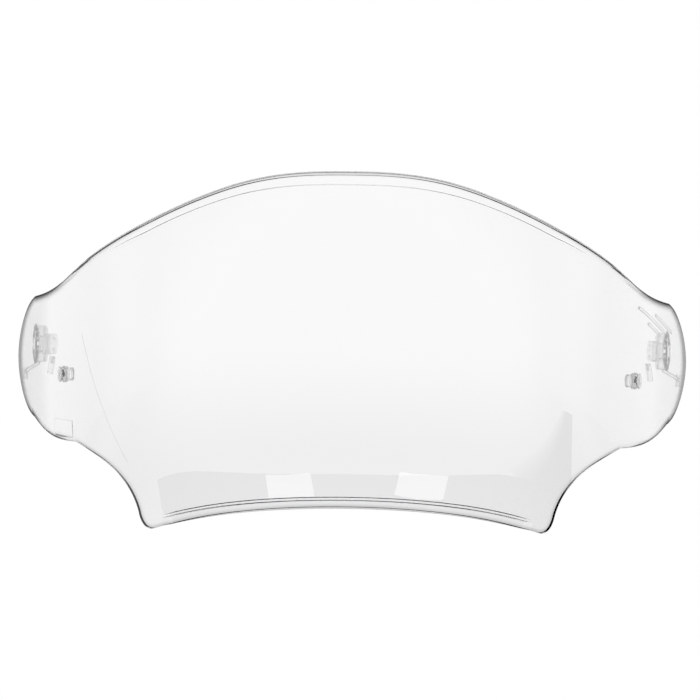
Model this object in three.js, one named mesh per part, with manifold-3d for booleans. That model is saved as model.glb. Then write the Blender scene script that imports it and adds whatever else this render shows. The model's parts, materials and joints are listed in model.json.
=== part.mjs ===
// A clear, injection-moulded visor for an open-face motorcycle helmet, with the two
// adjustable pins that hold an anti-fog lens behind it.
//
// Millimetres. +Z is up, the wearer looks along -Y, and +X is to the right of someone
// who faces the visor. The origin lies midway between the two pivots, on their axis.
//
// The visor is drawn as a developed pattern, as its maker would: s runs along the plan
// curve from the centre line, and z is the height. The pattern is then formed: a round
// front that straightens smoothly into two splayed arms, and a bulge that fades out
// along them.
import * as THREE from "three";
import { mergeVertices } from "three/addons/utils/BufferGeometryUtils.js";
import Module from "manifold-3d";

const wasm = await Module();
wasm.setup();

// Plan curve and bulge of the outer face.
const FRONT_RADIUS = 104.5;
const ROUND_TO = 70;
const STRAIGHT_FROM = 200;
const PIVOT_PLACE = 197;
const BULGE_RADIUS = 125;
const BULGE_LEVEL = -5;
const BULGE_FULL_TO = 55;
const BULGE_FADE_END = 155;
const ARM_BULGE_SHARE = 0.12;
const WALL = 2.2;

// Outline in the developed pattern, right half: s is measured from the centre line.
const CROWN_HEIGHT = 62.5;
const ARM_TOP_HEIGHT = 18.2;
const ARM_TOP_END = 202.5;
const ARM_TOP_RISE = 6.5;
const SHOULDER = 108.4;
const SHOULDER_POWER = 2.7;
const CHIN_CENTRE_HEIGHT = -53.5;
const CHIN_HALF_WIDTH = 91.6;
const CHIN_DROP = 11.6;
const CHIN_CORNER_RADIUS = 6.1;
const CUTOUT_END = 130.3;
const CUTOUT_END_HEIGHT = -34.6;
const CUTOUT_LEAN = -1.9;
const CUTOUT_DIP = 5.7;
const ARM_BELLY = 171.5;
const ARM_BELLY_HEIGHT = -35.8;
const ARM_END = 202.7;
const ARM_END_HEIGHT = -28.3;
const REAR_BOW = 33.9;
const REAR_BOW_POWER = 0.58;
const REAR_BOW_REACH_POWER = 4;

// Bevel round the rim, chin lip, brow ledge and inturned arm edges.
const RIM_BEVEL = 0.6;
const LIP_HEIGHT = 3.8;
const LIP_FILLET = 0.75;
const LIP_REACH = 1;
const LIP_FULL_TO = 62;
const LIP_END = 84;
const LEDGE_DEPTH = 4.6;
const LEDGE_STEP = 0.45;
const LEDGE_RAMP = 0.5;
const LEDGE_FULL_TO = 80;
const LEDGE_END = 112;
const INTURN_WIDTH = 3.2;
const INTURN_DROP = 1.2;
const INTURN_START = 112;
const INTURN_FULL_FROM = 150;

// How deep the roots of bosses and ribs sink into the wall's inner face.
const ROOT_SINK = 1.1;

// Pivot boss with its bayonet key, on the pivot axis inside each arm.
const BOSS_RADIUS = 7;
const BOSS_REACH = 4;
const KEY_LENGTH = 18;
const KEY_HEIGHT = 8;
const KEY_THICKNESS = 2.2;
const SOCKET_RADIUS = 2.6;
const SOCKET_DEPTH = 4.6;

// Guide rib ahead of the pivot, the stop tab behind it, and the brace rib that runs to
// the tab from under the boss. Distances are from the pivot axis.
const GUIDE_AHEAD = 30;
const GUIDE_LEVEL = -7.7;
const GUIDE_LENGTH = 7.3;
const GUIDE_LEAN = THREE.MathUtils.degToRad(33);
const GUIDE_THICKNESS = 1.5;
const GUIDE_REACH = 1.8;
const STOP_BACK = 28;
const STOP_LEVEL = -11.8;
const STOP_HEIGHT = 4.9;
const STOP_THICKNESS = 1.6;
const STOP_REACH = 2;
const BRACE_AHEAD = 8;
const BRACE_DROP = 7.2;
const BRACE_THICKNESS = 1.2;
const BRACE_REACH = 0.6;

// Grip ribs on the right arm only, and the gate pad on the left arm only.
const GRIP_RIB_PITCH = 2.9;
const GRIP_RIB_LENGTH = 43;
const GRIP_RIB_SPAN_SHARES = [
  [0.33, 0.82],
  [0, 1],
  [0.64, 1.36],
];
const GRIP_RIB_THICKNESS = 1.1;
const GRIP_RIB_REACH = 0.5;
const GRIP_RIB_START = 148;
const GRIP_RIB_LEVEL = 16.4;
const GRIP_RIB_TILT = THREE.MathUtils.degToRad(12);
const PAD_LENGTH = 24;
const PAD_HEIGHT = 7;
const PAD_REACH = 0.4;
const PAD_PLACE = 149;
const PAD_LEVEL = -30.6;

// Anti-fog lens pin: shank through the wall, flange, offset neck and head.
const PIN_PLACE = 144;
const PIN_LEVEL = -10.4;
const PIN_HOLE_RADIUS = 2.4;
const PIN_CLEARANCE = 0.3;
const SEAT_GAP = 0.3;
const WASHER_THICKNESS = 0.4;
const WASHER_RADIUS = 3.1;
const FLANGE_RADIUS = 2.9;
const FLANGE_THICKNESS = 0.6;
const NECK_RADIUS = 1.7;
const NECK_LENGTH = 0.9;
const NECK_OFFSET = 0.6;
const HEAD_RADIUS = 2.4;
const HEAD_THICKNESS = 1.2;
const HEAD_CHAMFER = 0.3;

// Screw that draws the lens pin up from outside.
const SCREW_HEAD_RADIUS = 3.5;
const SCREW_HEAD_HEIGHT = 0.9;
const SCREW_HEAD_EDGE = 0.4;
const SCREW_SHANK_RADIUS = 0.8;
const SCREW_SHANK_LENGTH = 3.1;
const SCREW_SLOT_WIDTH = 0.9;
const SCREW_SLOT_DEPTH = 0.5;

// How far a cutting shape runs past what it cuts.
const OVERRUN = 1;

// How finely the shapes are divided.
const CHIN_STEPS = 13;
const CORNER_STEPS = 4;
const CUTOUT_STEPS = 8;
const ARM_STEPS = 13;
const FACE_STEPS = 12;
const ROUND_STEPS = 28;
const RIB_STEPS = 5;
const PLAN_STEP = 0.5;

const CENTRE_COLUMN = CROWN_HEIGHT - CHIN_CENTRE_HEIGHT;
const LIP_SHARE = LIP_HEIGHT / CENTRE_COLUMN;
const FILLET_SHARE = LIP_FILLET / CENTRE_COLUMN;
const LEDGE_SHARE = 1 - LEDGE_DEPTH / CENTRE_COLUMN;
const RAMP_SHARE = LEDGE_RAMP / CENTRE_COLUMN;
const SIDES = [
  ["left", -1],
  ["right", 1],
];

// 0 up to `from`, 1 past `to`, and a smooth rise between them.
function fade(value, from, to) {
  return THREE.MathUtils.smoothstep(value, from, to);
}

// How far the plan curve has turned at a distance from the centre line. Its curvature is
// 1 / FRONT_RADIUS up to ROUND_TO and falls smoothly to none at STRAIGHT_FROM.
function heading(distance) {
  const length = STRAIGHT_FROM - ROUND_TO;
  const t = THREE.MathUtils.clamp((distance - ROUND_TO) / length, 0, 1);
  return (Math.min(distance, ROUND_TO) + length * (t - t ** 3 + t ** 4 / 2)) / FRONT_RADIUS;
}

// The right half of the plan curve, followed in short steps, with the pivot at Y = 0.
function followPlan() {
  const count = Math.ceil((ARM_END + ARM_TOP_END + REAR_BOW) / PLAN_STEP);
  const points = [new THREE.Vector2()];
  for (let i = 0; i < count; i++) {
    const turn = heading((i + 1 / 2) * PLAN_STEP);
    const step = new THREE.Vector2(Math.cos(turn), Math.sin(turn)).multiplyScalar(PLAN_STEP);
    points.push(points[i].clone().add(step));
  }
  return points;
}

const PLAN = followPlan();

// A place on the right half of the plan curve, between two of its steps.
function alongPlan(distance) {
  const steps = Math.min(distance / PLAN_STEP, PLAN.length - 2);
  const from = Math.floor(steps);
  return PLAN[from].clone().lerp(PLAN[from + 1], steps - from);
}

const PIVOT_ON_PLAN = alongPlan(PIVOT_PLACE);
const PIVOT_SPLAY = Math.PI / 2 - heading(PIVOT_PLACE);

// A point of the plan curve and the direction out of the visor there.
function planPoint(s) {
  const side = Math.sign(s) || 1;
  const place = alongPlan(Math.abs(s));
  const turn = heading(Math.abs(s));
  return {
    x: side * place.x,
    y: place.y - PIVOT_ON_PLAN.y,
    out: new THREE.Vector3(side * Math.sin(turn), -Math.cos(turn), 0),
  };
}

// A point of the formed pattern and the direction out of it there. The bulge draws the
// wall in by the sagitta of an arc of BULGE_RADIUS, less and less along the arms.
function formed(s, z) {
  const { x, y, out } = planPoint(s);
  const share = 1 - (1 - ARM_BULGE_SHARE) * fade(Math.abs(s), BULGE_FULL_TO, BULGE_FADE_END);
  const above = z - BULGE_LEVEL;
  const run = Math.sqrt(BULGE_RADIUS ** 2 - above ** 2);
  const point = new THREE.Vector3(x, y, z);
  point.addScaledVector(out, -(BULGE_RADIUS - run) * share);
  const slope = (above / run) * share;
  const normal = out.clone().add(new THREE.Vector3(0, 0, slope)).normalize();
  return { point, normal };
}

// A formed point at a depth below the outer face.
function below(s, z, depth) {
  const { point, normal } = formed(s, z);
  return point.addScaledVector(normal, -depth);
}

// Height of the upper edge: it rises a little along the arm and then sweeps up to the
// crown at the centre.
function topHeight(s) {
  const arm = ARM_TOP_HEIGHT + ARM_TOP_RISE * (1 - Math.abs(s) / ARM_TOP_END);
  const sweep = Math.exp(-((Math.abs(s) / SHOULDER) ** SHOULDER_POWER));
  return arm + (CROWN_HEIGHT - arm) * sweep;
}

// The lower edge from the centre to the arm's end: chin arch, rounded chin corner,
// concave cut-out and the arm's underside.
function lowerEdge() {
  const archEnd = CHIN_HALF_WIDTH - CHIN_CORNER_RADIUS;
  const archEndHeight = CHIN_CENTRE_HEIGHT - CHIN_DROP * (archEnd / CHIN_HALF_WIDTH) ** 2;
  const archSlope = (archEndHeight - CHIN_CENTRE_HEIGHT) / (archEnd / 2);
  const cornerHeight = archEndHeight + archSlope * CHIN_CORNER_RADIUS;
  const sideHeight = cornerHeight + CHIN_CORNER_RADIUS;
  const hollow = CHIN_HALF_WIDTH + CUTOUT_LEAN;
  const hollowHeight = CUTOUT_END_HEIGHT - CUTOUT_DIP;
  const path = new THREE.Path().moveTo(0, CHIN_CENTRE_HEIGHT);
  path.quadraticCurveTo(archEnd / 2, CHIN_CENTRE_HEIGHT, archEnd, archEndHeight);
  path.quadraticCurveTo(CHIN_HALF_WIDTH, cornerHeight, CHIN_HALF_WIDTH, sideHeight);
  path.quadraticCurveTo(hollow, hollowHeight, CUTOUT_END, CUTOUT_END_HEIGHT);
  path.quadraticCurveTo(ARM_BELLY, ARM_BELLY_HEIGHT, ARM_END, ARM_END_HEIGHT);
  const steps = [CHIN_STEPS, CORNER_STEPS, CUTOUT_STEPS, ARM_STEPS];
  const points = [new THREE.Vector2(0, CHIN_CENTRE_HEIGHT)];
  path.curves.forEach((curve, i) => points.push(...curve.getPoints(steps[i]).slice(1)));
  const lastHalfStep = path.curves.at(-1).getPoint(1 - 1 / (2 * ARM_STEPS));
  points.splice(-1, 0, lastHalfStep);
  return points;
}

// Each column of the pattern joins a point of the lower edge to one of the upper edge.
// They are paired by the mean of their shares of the span and of the edge's length.
function patternColumns() {
  const lower = lowerEdge();
  const lengths = [0];
  for (let i = 1; i < lower.length; i++) {
    lengths.push(lengths[i - 1] + lower[i].distanceTo(lower[i - 1]));
  }
  const half = lower.map((low, i) => {
    const share = (low.x / ARM_END + lengths[i] / lengths.at(-1)) / 2;
    const s = ARM_TOP_END * share;
    return { low, high: new THREE.Vector2(s, topHeight(s)), share };
  });
  const mirrored = half.slice(1).reverse().map(({ low, high, share }) => ({
    low: new THREE.Vector2(-low.x, low.y),
    high: new THREE.Vector2(-high.x, high.y),
    share: -share,
  }));
  return [...mirrored, ...half];
}

// Rows run from the lower edge, 0, to the upper edge, 1. Places where the wall changes
// shape get rows of their own.
function patternRows() {
  const free = Array.from({ length: FACE_STEPS + 1 }, (_, i) =>
    THREE.MathUtils.lerp(LIP_SHARE + FILLET_SHARE, LEDGE_SHARE - RAMP_SHARE, i / FACE_STEPS),
  );
  const lip = [0, LIP_SHARE - FILLET_SHARE, LIP_SHARE];
  return [...lip, ...free, LEDGE_SHARE, (LEDGE_SHARE + 1) / 2, 1];
}

// A point of the pattern: the column's straight line, bowed rearwards at the arm's end.
function patternPoint({ low, high, share }, row) {
  const point = low.clone().lerp(high, row);
  const bow = REAR_BOW * Math.sin(Math.PI * row) ** REAR_BOW_POWER;
  point.x += Math.sign(share) * Math.abs(share) ** REAR_BOW_REACH_POWER * bow;
  return point;
}

// How far the outer face stands proud at a row: the chin lip, and the brow band that is
// stepped back above the ledge. Both fade out towards the arms.
function relief(s, row) {
  const lip = 1 - fade(row, LIP_SHARE - FILLET_SHARE / 2, LIP_SHARE + FILLET_SHARE);
  const band = fade(row, LEDGE_SHARE - RAMP_SHARE, LEDGE_SHARE);
  const lipReach = LIP_REACH * (1 - fade(Math.abs(s), LIP_FULL_TO, LIP_END));
  const ledgeStep = LEDGE_STEP * (1 - fade(Math.abs(s), LEDGE_FULL_TO, LEDGE_END));
  return lipReach * lip - ledgeStep * band;
}

// How far a pattern point turns in near the rim of an arm.
function inturn(p, rim) {
  const away = Math.min(...rim.map((q) => q.distanceTo(p)));
  const share = 1 - Math.min(away / INTURN_WIDTH, 1);
  return INTURN_DROP * share ** 2 * fade(Math.abs(p.x), INTURN_START, INTURN_FULL_FROM);
}

// The places of a grid's border in order, round the pattern with the inside on the left.
function borderOf(columnCount, rowCount) {
  const at = (i, j) => i * rowCount + j;
  const [last, top] = [columnCount - 1, rowCount - 1];
  const border = [];
  for (let i = 0; i < last; i++) border.push(at(i, 0));
  for (let j = 0; j < top; j++) border.push(at(last, j));
  for (let i = last; i > 0; i--) border.push(at(i, top));
  for (let j = top; j > 0; j--) border.push(at(0, j));
  return border;
}

// The wall as one closed mesh: a grid of outer points, a grid of inner points, and three
// strips round the rim between them, the middle one upright and the others bevels.
function wallGeometry() {
  const columns = patternColumns();
  const rows = patternRows();
  const across = rows.length;
  const flat = columns.flatMap((column) => rows.map((row) => patternPoint(column, row)));
  const border = borderOf(columns.length, across);
  const rim = border.map((k) => flat[k].clone());
  const drops = flat.map((p) => inturn(p, rim));
  const proud = flat.map((p, k) => relief(p.x, rows[k % across]));
  border.forEach((k, n) => {
    const before = rim.at(n - 1);
    const after = rim[(n + 1) % rim.length];
    const along = after.clone().sub(before).setLength(RIM_BEVEL);
    flat[k].add(new THREE.Vector2(-along.y, along.x));
  });
  const outer = flat.map((p, k) => below(p.x, p.y, drops[k] - proud[k]));
  const inner = flat.map((p, k) => below(p.x, p.y, drops[k] + WALL));
  const rimAt = (depthAt) => rim.map((p, n) => below(p.x, p.y, depthAt(border[n])));
  const high = rimAt((k) => drops[k] - proud[k] + RIM_BEVEL);
  const low = rimAt((k) => drops[k] + WALL - RIM_BEVEL);
  const [innerFrom, highFrom] = [outer.length, outer.length + inner.length];
  const lowFrom = highFrom + rim.length;
  const faces = [];
  const quad = (a, b, c, d) => faces.push(a, b, c, a, c, d);
  for (let i = 0; i < columns.length - 1; i++) {
    for (let j = 0; j < across - 1; j++) {
      const a = i * across + j;
      const b = a + across;
      quad(a, b, b + 1, a + 1);
      quad(innerFrom + a, innerFrom + a + 1, innerFrom + b + 1, innerFrom + b);
    }
  }
  border.forEach((k, n) => {
    const next = (n + 1) % border.length;
    const stack = [k, highFrom + n, lowFrom + n, innerFrom + k];
    const beside = [border[next], highFrom + next, lowFrom + next, innerFrom + border[next]];
    for (let m = 0; m < 3; m++) quad(stack[m], stack[m + 1], beside[m + 1], beside[m]);
  });
  const geometry = new THREE.BufferGeometry().setFromPoints([...outer, ...inner, ...high, ...low]);
  geometry.setIndex(faces);
  return geometry;
}

// A closed three.js geometry, moved by a matrix, as a solid that can be joined and cut.
// A mirroring matrix turns the faces inside out, so their winding is turned back.
function solid(geometry, matrix = new THREE.Matrix4()) {
  const bare = geometry.clone();
  bare.deleteAttribute("normal");
  bare.deleteAttribute("uv");
  bare.applyMatrix4(matrix);
  const merged = mergeVertices(bare);
  if (matrix.determinant() < 0) merged.index.array.reverse();
  return new wasm.Manifold(
    new wasm.Mesh({
      numProp: 3,
      vertProperties: merged.attributes.position.array,
      triVerts: new Uint32Array(merged.index.array),
    }),
  );
}

// A joined or cut solid as a three.js geometry again.
function geometryOf(body) {
  const { vertProperties, triVerts } = body.getMesh();
  const geometry = new THREE.BufferGeometry();
  geometry.setAttribute("position", new THREE.BufferAttribute(vertProperties, 3));
  geometry.setIndex(new THREE.BufferAttribute(triVerts, 1));
  return geometry;
}

// A frame on an arm's outer face: +Y out of the wall, +X rearwards along it, +Z about up.
// The right arm's frame mirrors the left arm's.
function armFrame(side, s, z) {
  const { point, normal } = formed(side * s, z);
  const up = new THREE.Vector3(0, 0, 1);
  const rear = new THREE.Vector3().crossVectors(normal, up).multiplyScalar(-side).normalize();
  const across = new THREE.Vector3().crossVectors(rear, normal).multiplyScalar(-side);
  return new THREE.Matrix4().makeBasis(rear, normal, across).setPosition(point);
}

// A rib on the wall's inner face. It follows a line of the pattern and the wall's own
// curve, is `width` wide and stands `reach` proud.
function surfaceRib(side, line, width, reach) {
  const points = line.flatMap((p, i) => {
    const before = line[Math.max(i - 1, 0)];
    const after = line[Math.min(i + 1, line.length - 1)];
    const along = after.clone().sub(before).setLength(width / 2);
    const [s, z] = [side * (p.x - along.y), p.y + along.x];
    const [t, y] = [side * (p.x + along.y), p.y - along.x];
    const root = WALL - ROOT_SINK;
    const tip = WALL + reach;
    return [below(s, z, root), below(t, y, root), below(t, y, tip), below(s, z, tip)];
  });
  const faces = [0, 2, 1, 0, 3, 2];
  const ring = 4;
  for (let i = 0; i < points.length - ring; i += ring) {
    for (let k = 0; k < ring; k++) {
      const [a, b] = [i + k, i + ((k + 1) % ring)];
      faces.push(a, b, b + ring, a, b + ring, a + ring);
    }
  }
  const end = points.length - ring;
  faces.push(end, end + 1, end + 2, end, end + 2, end + 3);
  if (side < 0) faces.reverse();
  const geometry = new THREE.BufferGeometry().setFromPoints(points);
  geometry.setIndex(faces);
  return solid(geometry);
}

// Points evenly along a straight line of the pattern, given by its middle and its slope.
function straightLine(s, z, length, slope) {
  return Array.from({ length: RIB_STEPS + 1 }, (_, i) => {
    const along = length * (i / RIB_STEPS - 1 / 2);
    return new THREE.Vector2(s + along * Math.cos(slope), z + along * Math.sin(slope));
  });
}

// A cylinder along X whose ends lie at two distances from the centre line.
function axleCylinder(side, radius, from, to) {
  const geometry = new THREE.CylinderGeometry(radius, radius, to - from, ROUND_STEPS);
  geometry.rotateZ(Math.PI / 2);
  geometry.translate((side * (from + to)) / 2, 0, 0);
  return solid(geometry);
}

// The pivot boss with its bayonet key. The boss is square to the pivot axis and the wall
// is splayed, so the boss's root is trimmed to a plane inside the wall.
function pivotBoss(side) {
  const wallInside = PIVOT_ON_PLAN.x - WALL / Math.cos(PIVOT_SPLAY);
  const bossEnd = wallInside - BOSS_REACH;
  const keyEnd = bossEnd - KEY_THICKNESS;
  const rootEnd = wallInside + BOSS_RADIUS;
  const trim = new THREE.BoxGeometry(4 * BOSS_RADIUS, 2 * BOSS_RADIUS, 4 * BOSS_RADIUS);
  trim.translate(0, BOSS_RADIUS + ROOT_SINK - WALL, 0);
  const boss = axleCylinder(side, BOSS_RADIUS, bossEnd, rootEnd).subtract(
    solid(trim, armFrame(side, PIVOT_PLACE, 0)),
  );
  const radius = KEY_HEIGHT / 2;
  const half = KEY_LENGTH / 2 - radius;
  const outline = new THREE.Shape();
  outline.absarc(half, 0, radius, -Math.PI / 2, Math.PI / 2);
  outline.absarc(-half, 0, radius, Math.PI / 2, (3 * Math.PI) / 2);
  const key = new THREE.ExtrudeGeometry(outline, {
    depth: KEY_THICKNESS,
    bevelEnabled: false,
    curveSegments: ROUND_STEPS / 2,
  });
  key.rotateX(Math.PI / 2).rotateZ(Math.PI / 2);
  key.translate(side > 0 ? keyEnd : -bossEnd, 0, 0);
  const socket = axleCylinder(side, SOCKET_RADIUS, keyEnd - OVERRUN, keyEnd + SOCKET_DEPTH);
  return boss.add(solid(key)).subtract(socket);
}

// The short leaning rib that guides the visor on the helmet's side plate.
function guideRib(side) {
  const slope = GUIDE_LEAN - Math.PI / 2;
  const line = straightLine(PIVOT_PLACE - GUIDE_AHEAD, GUIDE_LEVEL, GUIDE_LENGTH, slope);
  return surfaceRib(side, line, GUIDE_THICKNESS, GUIDE_REACH);
}

// The stop tab behind the pivot and the low brace that runs to it from under the boss.
function stopTab(side) {
  const upright = straightLine(PIVOT_PLACE + STOP_BACK, STOP_LEVEL, STOP_HEIGHT, Math.PI / 2);
  const run = new THREE.Vector2(STOP_BACK + BRACE_AHEAD, STOP_LEVEL + BRACE_DROP);
  const middle = new THREE.Vector2(PIVOT_PLACE - BRACE_AHEAD, -BRACE_DROP);
  middle.addScaledVector(run, 1 / 2);
  const brace = straightLine(middle.x, middle.y, run.length(), Math.atan2(run.y, run.x));
  const tab = surfaceRib(side, upright, STOP_THICKNESS, STOP_REACH);
  return tab.add(surfaceRib(side, brace, BRACE_THICKNESS, BRACE_REACH));
}

// The grip ribs of the right arm, falling rearwards side by side, the lowest first.
function gripRibs() {
  const fall = new THREE.Vector2(Math.cos(GRIP_RIB_TILT), -Math.sin(GRIP_RIB_TILT));
  return GRIP_RIB_SPAN_SHARES.map(([from, to], i) => {
    const start = new THREE.Vector2(GRIP_RIB_START, GRIP_RIB_LEVEL + (i - 1) * GRIP_RIB_PITCH);
    const middle = start.addScaledVector(fall, (GRIP_RIB_LENGTH * (from + to)) / 2);
    const length = GRIP_RIB_LENGTH * (to - from);
    const line = straightLine(middle.x, middle.y, length, -GRIP_RIB_TILT);
    return surfaceRib(1, line, GRIP_RIB_THICKNESS, GRIP_RIB_REACH);
  });
}

// The bore through the wall for a lens pin.
function pinHole(side) {
  const radius = PIN_HOLE_RADIUS;
  const hole = new THREE.CylinderGeometry(radius, radius, WALL + 2 * OVERRUN, ROUND_STEPS);
  hole.translate(0, -WALL / 2, 0);
  return solid(hole, armFrame(side, PIN_PLACE, PIN_LEVEL));
}

// The whole moulding: wall, pivot bosses, ribs and tabs in one, with the two pin holes.
function visorMoulding() {
  let body = solid(wallGeometry());
  for (const [, side] of SIDES) {
    body = body.add(pivotBoss(side)).add(guideRib(side)).add(stopTab(side));
    body = body.subtract(pinHole(side));
  }
  for (const rib of gripRibs()) body = body.add(rib);
  const pad = straightLine(PAD_PLACE, PAD_LEVEL, PAD_LENGTH, 0);
  return body.add(surfaceRib(-1, pad, PAD_HEIGHT, PAD_REACH));
}

// A turned piece from its half section: pairs of radius and depth below the outer face,
// listed from the inner end to the outer end.
function turned(profile) {
  const points = profile.map(([radius, depth]) => new THREE.Vector2(radius, -depth));
  return new THREE.LatheGeometry(points, ROUND_STEPS);
}

const WASHER_FROM = WALL + SEAT_GAP;
const FLANGE_FROM = WASHER_FROM + WASHER_THICKNESS + SEAT_GAP;
const NECK_FROM = FLANGE_FROM + FLANGE_THICKNESS;
const HEAD_FROM = NECK_FROM + NECK_LENGTH;
const PIN_END = HEAD_FROM + HEAD_THICKNESS;
const SHANK_RADIUS = PIN_HOLE_RADIUS - PIN_CLEARANCE;

// The lens pin: its neck and head stand off the shank's axis, so turning it moves them.
function lensPin() {
  const shank = solid(
    turned([
      [0, NECK_FROM],
      [FLANGE_RADIUS, NECK_FROM],
      [FLANGE_RADIUS, FLANGE_FROM],
      [SHANK_RADIUS, FLANGE_FROM],
      [SHANK_RADIUS, 0],
      [0, 0],
    ]),
  );
  const neckRoot = NECK_FROM - FLANGE_THICKNESS / 2;
  const head = solid(
    turned([
      [0, PIN_END],
      [HEAD_RADIUS - HEAD_CHAMFER, PIN_END],
      [HEAD_RADIUS, PIN_END - HEAD_CHAMFER],
      [HEAD_RADIUS, HEAD_FROM],
      [NECK_RADIUS, HEAD_FROM],
      [NECK_RADIUS, neckRoot],
      [0, neckRoot],
    ]),
    new THREE.Matrix4().makeTranslation(NECK_OFFSET, 0, 0),
  );
  const boreRadius = SCREW_SHANK_RADIUS + SEAT_GAP;
  const boreEnd = SCREW_SHANK_LENGTH + SEAT_GAP;
  const bore = solid(
    turned([
      [0, boreEnd],
      [boreRadius, boreEnd],
      [boreRadius, -OVERRUN],
      [0, -OVERRUN],
    ]),
  );
  return geometryOf(shank.add(head).subtract(bore));
}

// The soft washer between the pin's flange and the visor's inner face.
function pinWasher() {
  return turned([
    [PIN_HOLE_RADIUS, WASHER_FROM],
    [PIN_HOLE_RADIUS, WASHER_FROM + WASHER_THICKNESS],
    [WASHER_RADIUS, WASHER_FROM + WASHER_THICKNESS],
    [WASHER_RADIUS, WASHER_FROM],
    [PIN_HOLE_RADIUS, WASHER_FROM],
  ]);
}

// The slotted screw that draws the pin up from outside and turns with it.
function pinScrew() {
  const edge = SEAT_GAP + SCREW_HEAD_EDGE;
  const top = SEAT_GAP + SCREW_HEAD_HEIGHT;
  const body = solid(
    turned([
      [0, SCREW_SHANK_LENGTH],
      [SCREW_SHANK_RADIUS, SCREW_SHANK_LENGTH],
      [SCREW_SHANK_RADIUS, -SEAT_GAP],
      [SCREW_HEAD_RADIUS, -SEAT_GAP],
      [SCREW_HEAD_RADIUS, -edge],
      [SCREW_HEAD_RADIUS / 2, -top],
      [0, -top],
    ]),
  );
  const across = 2 * (SCREW_HEAD_RADIUS + OVERRUN);
  const slot = new THREE.BoxGeometry(across, 2 * SCREW_SLOT_DEPTH, SCREW_SLOT_WIDTH);
  slot.translate(0, top, 0);
  return geometryOf(body.subtract(solid(slot)));
}

const CLEAR = { color: 0xf2f4f5, transparent: true, opacity: 0.3, metalness: 0 };
const clearMoulding = new THREE.MeshStandardMaterial({ ...CLEAR, roughness: 0.04 });
const clearPin = new THREE.MeshStandardMaterial({ ...CLEAR, roughness: 0.1 });
const softWasher = new THREE.MeshStandardMaterial({ ...CLEAR, roughness: 0.5 });

const visor = new THREE.Group();

function addPiece(parent, name, geometry, material) {
  const mesh = new THREE.Mesh(geometry, material);
  mesh.name = name;
  parent.add(mesh);
}

addPiece(visor, "visor_shell", geometryOf(visorMoulding()), clearMoulding);
for (const [name, side] of SIDES) {
  const seat = new THREE.Group();
  seat.applyMatrix4(armFrame(side, PIN_PLACE, PIN_LEVEL));
  addPiece(seat, `${name}_lens_pin`, lensPin(), clearPin);
  addPiece(seat, `${name}_pin_washer`, pinWasher(), softWasher);
  addPiece(seat, `${name}_pin_screw`, pinScrew(), clearPin);
  visor.add(seat);
}

export default visor;
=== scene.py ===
"""A clear visor for an open-face motorcycle helmet, as a studio photograph shows it.

The visor is one clear moulding with an eccentric lens pin, a soft washer and a slotted
screw on each arm. Every piece is a surface worked out with numpy in metres, in the
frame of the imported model: +Z is up, the front faces -Y and the pivots lie on the X axis.
"""

import json
import logging
import math
from dataclasses import dataclass, field
from enum import Enum
from functools import cached_property

import bmesh
import bpy
import numpy as np
from mathutils import Matrix


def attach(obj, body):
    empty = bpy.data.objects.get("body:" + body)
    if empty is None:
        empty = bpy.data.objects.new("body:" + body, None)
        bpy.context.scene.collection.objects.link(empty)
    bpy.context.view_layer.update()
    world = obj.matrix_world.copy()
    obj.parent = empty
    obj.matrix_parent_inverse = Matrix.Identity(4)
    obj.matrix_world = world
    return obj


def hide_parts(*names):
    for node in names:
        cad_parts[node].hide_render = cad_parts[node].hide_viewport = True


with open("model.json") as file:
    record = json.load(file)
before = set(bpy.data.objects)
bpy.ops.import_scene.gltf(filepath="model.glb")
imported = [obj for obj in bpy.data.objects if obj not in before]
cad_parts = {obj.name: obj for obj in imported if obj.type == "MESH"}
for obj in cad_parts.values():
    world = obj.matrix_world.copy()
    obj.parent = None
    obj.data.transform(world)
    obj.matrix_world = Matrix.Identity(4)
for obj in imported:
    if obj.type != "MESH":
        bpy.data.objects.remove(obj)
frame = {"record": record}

Array = np.ndarray
Piece = bpy.types.Object
Socket = bpy.types.NodeSocket
Outputs = bpy.types.bpy_prop_collection
Inputs = dict[str | int, Socket | float | tuple[float, ...]]
Triple = tuple[float, float, float]
Corner = tuple[float, float]  # X and Y
Span = tuple[float, float]  # the places or the values at the two ends of a change
Section = tuple[float, float]  # a rib's thickness, and how far it stands proud

LOG = logging.getLogger("visor")
# the attribute that carries the painted shade along the rim
RIM_SHADE_ATTRIBUTE = "rim_nearness"
MERGE_DISTANCE = 1e-7
SEARCH_BLOCKS = 48
LINEAR = "LINEAR"


class Side(Enum):
    """The two arms, with the sign of X on which each lies."""

    LEFT = -1
    RIGHT = 1

    @property
    def word(self) -> str:
        """The side's name as the pieces carry it."""
        return self.name.lower()


class Join(Enum):
    """How one closed solid is combined with another."""

    UNION = "UNION"
    CUT = "DIFFERENCE"


def smooth_step(value: Array, start: float, end: float) -> Array:
    """Rises from 0 at start to 1 at end: t * t * (3 - 2 * t) of the clamped share t."""
    share = np.clip((value - start) / (end - start), 0.0, 1.0)
    return share * share * (3.0 - 2.0 * share)


def fade_out(value: Array, start: float, end: float) -> Array:
    """Falls from 1 at start to 0 at end, as smooth_step rises."""
    return 1.0 - smooth_step(value, start, end)


def unit(vectors: Array) -> Array:
    """Scales the vectors in the last axis to length 1."""
    return vectors / np.linalg.norm(vectors, axis=-1, keepdims=True)


def leftwards(along: Array) -> Array:
    """Turns the vectors of a plane in the last axis a quarter turn to the left."""
    return np.stack([-along[..., 1], along[..., 0]], axis=-1)


def quarter_arc(steps: int) -> tuple[Array, Array]:
    """Sines and cosines of steps + 1 angles evenly along a quarter turn."""
    angle = np.linspace(0.0, math.pi / 2.0, steps + 1)
    return np.sin(angle), np.cos(angle)


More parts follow.
